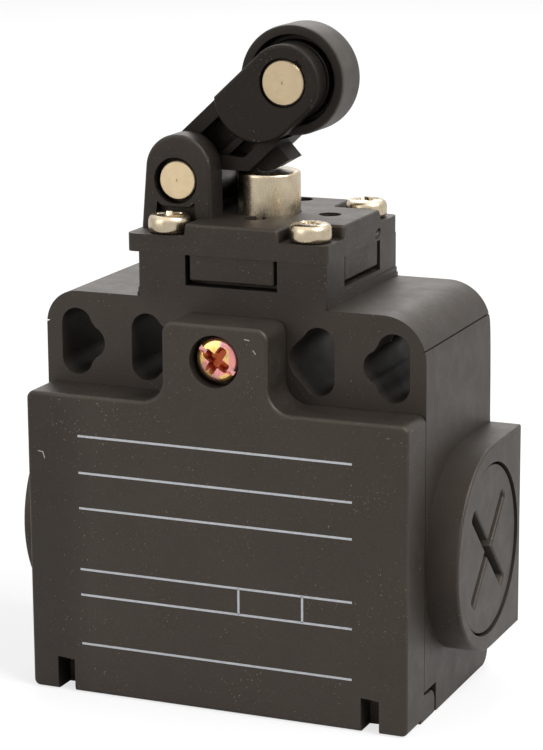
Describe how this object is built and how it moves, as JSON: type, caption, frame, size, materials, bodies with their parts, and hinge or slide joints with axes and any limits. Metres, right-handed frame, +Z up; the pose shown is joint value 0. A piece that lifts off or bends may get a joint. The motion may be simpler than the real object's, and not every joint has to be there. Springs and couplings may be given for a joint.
{
  "type": "roller lever limit switch",
  "caption": "Compact plastic-cased limit switch with a roller lever head, side conduit entries closed by blanking plugs, and fixing slots through its shoulders.",
  "frame": {"origin": "on the flat bottom of the case, under the plunger's axis", "axes": "+Z up along the plunger, +Y towards the flat back that is screwed to a machine, -Y towards the front cover, +X to the right as seen from the front"},
  "size_m": [0.061, 0.0314, 0.0863],
  "materials": {
    "black_plastic": "moulded black glass-filled plastic with a fine grain",
    "roller_plastic": "black plastic, worn grey on the tread",
    "nickel_plated_steel": "nickel-plated, softly polished",
    "pin_steel": "plain cut ends, warm nickel",
    "passivated_steel": "yellow-passivated zinc, iridescent",
    "zinc_plated_steel": "bright zinc",
    "seal_rubber": "black nitrile rubber",
    "spring_wire": "drawn spring wire",
    "block_plastic": "light grey thermoset",
    "carrier_plastic": "white acetal",
    "contact_brass": "copper alloy with silver rivets"
  },
  "bodies": {
    "case": {"block_front": "block_plastic", "block_screws": "zinc_plated_steel", "carrier_spring": "spring_wire", "conduit_plug_left": "black_plastic", "conduit_plug_right": "black_plastic", "contact_block": "block_plastic", "cover_gasket": "seal_rubber", "cover_screw": "passivated_steel", "front_cover": "black_plastic", "head_gasket": "seal_rubber", "head_plate": "black_plastic", "head_screws": "nickel_plated_steel", "housing": "black_plastic", "nc_contact_left": "contact_brass", "nc_contact_right": "contact_brass", "no_contact_left": "contact_brass", "no_contact_right": "contact_brass", "pivot_pin": "pin_steel", "plug_seal_left": "seal_rubber", "plug_seal_right": "seal_rubber", "plunger_seal": "seal_rubber", "return_spring": "spring_wire", "terminal_screws": "zinc_plated_steel", "wire_clamps": "zinc_plated_steel"},
    "lever": {"lever_arm": "black_plastic", "pivot_bush": "nickel_plated_steel", "roller_axle": "pin_steel"},
    "wheel": {"roller": "roller_plastic"},
    "plunger_group": {"plunger": "nickel_plated_steel", "contact_carrier": "carrier_plastic", "nc_bridge": "contact_brass", "no_bridge": "contact_brass", "nc_spring": "spring_wire", "no_spring": "spring_wire"}
  },
  "joints": [
    {"name": "lever_swing", "type": "hinge", "parent": "case", "child": "lever", "pos_m": [-0.0096, 0, 0.0664], "axis": [0, 1, 0], "range_deg": [0, 25], "stiffness_Nm_per_rad": 0.0939, "springref_deg": -22.44},
    {"name": "roller_spin", "type": "hinge", "parent": "lever", "child": "wheel", "pos_m": [0.00441, 0, 0.07924], "axis": [0, 1, 0], "continuous": true},
    {"name": "plunger_slide", "type": "slide", "parent": "case", "child": "plunger_group", "axis": [0, 0, -1], "range_m": [0, 0.00446], "deforming": ["return_spring", "carrier_spring"]}
  ],
  "couplings": [
    {"joint": "lever_swing", "follows": "plunger_slide", "rad_per_m": 97.888}
  ]
}
